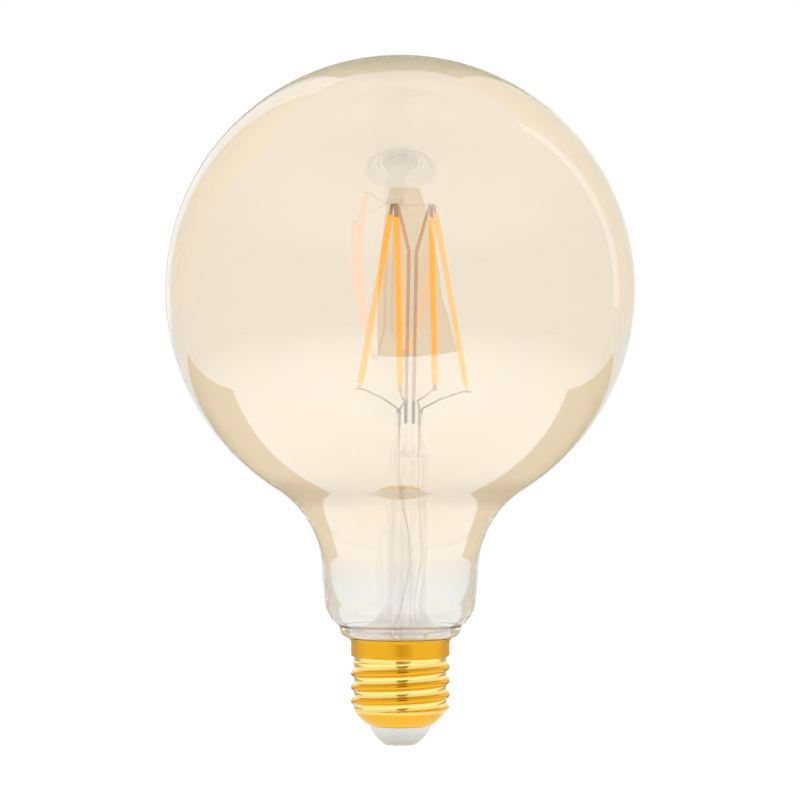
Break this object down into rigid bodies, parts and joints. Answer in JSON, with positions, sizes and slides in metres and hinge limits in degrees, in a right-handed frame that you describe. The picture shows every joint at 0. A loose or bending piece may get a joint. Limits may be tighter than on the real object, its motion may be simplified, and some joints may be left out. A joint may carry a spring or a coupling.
{
  "type": "globe led filament bulb",
  "caption": "Large globe filament bulb: amber glass on a tapered neck, slanting yellow LED filaments on wire posts, brass screw cap.",
  "frame": {"origin": "centre of the lower face of the centre contact", "axes": "+Z along the bulb's axis, from the contact to the top of the globe; -Y towards the camera, +X to its right"},
  "size_m": [0.1228, 0.1228, 0.1805],
  "materials": {
    "amber_glass": "clear blown glass with an amber tint that fades at the neck",
    "clear_glass": "clear glass",
    "post_wire": "dull dark wire",
    "nickel_wire": "drawn wire",
    "seal_wire": "copper-coated seal wire",
    "phosphor": "yellow-orange silicone with phosphor",
    "filament_core": "white ceramic strip",
    "tab_metal": "thin stamped strip",
    "cap_brass": "bright rolled brass sheet",
    "cement": "dry cement",
    "insulator": "pale satin insulator",
    "contact": "copper-coloured disc",
    "board": "glass-fibre board",
    "moulded_black": "moulded black",
    "resistor_coat": "lacquered body",
    "can_sleeve": "shrunk sleeve over a can",
    "ferrite": "sintered ferrite",
    "sleeve": "thin insulating sleeve",
    "hookup_wire": "insulated wire",
    "solder": "solder"
  },
  "bodies": {
    "root": {"glass_globe": "amber_glass", "stem_flare": "clear_glass", "exhaust_tube": "clear_glass", "post_left": "post_wire", "post_right": "post_wire", "inner_lead_left": "nickel_wire", "inner_lead_right": "nickel_wire", "outer_lead_left": "nickel_wire", "outer_lead_right": "nickel_wire", "feed_wire_left": "nickel_wire", "feed_wire_back": "nickel_wire", "feed_wire_front": "nickel_wire", "feed_wire_right": "nickel_wire", "seal_wire_left": "seal_wire", "seal_wire_right": "seal_wire", "filament_coat_left": "phosphor", "filament_coat_front": "phosphor", "filament_coat_back": "phosphor", "filament_coat_right": "phosphor", "filament_core_left": "filament_core", "filament_core_front": "filament_core", "filament_core_back": "filament_core", "filament_core_right": "filament_core", "top_tab_left": "tab_metal", "top_tab_front": "tab_metal", "top_tab_back": "tab_metal", "top_tab_right": "tab_metal", "foot_tab_left": "tab_metal", "foot_tab_front": "tab_metal", "foot_tab_back": "tab_metal", "foot_tab_right": "tab_metal", "screw_shell": "cap_brass", "cement_ring": "cement", "cap_insulator": "insulator", "centre_contact": "contact", "driver_board": "board", "bridge_rectifier": "moulded_black", "driver_chip": "moulded_black", "fusible_resistor": "resistor_coat", "smoothing_capacitor": "can_sleeve", "inductor": "ferrite", "driver_sleeve": "sleeve", "shell_wire": "hookup_wire", "contact_wire": "hookup_wire", "shell_solder": "solder", "contact_solder": "solder"}
  },
  "joints": []
}
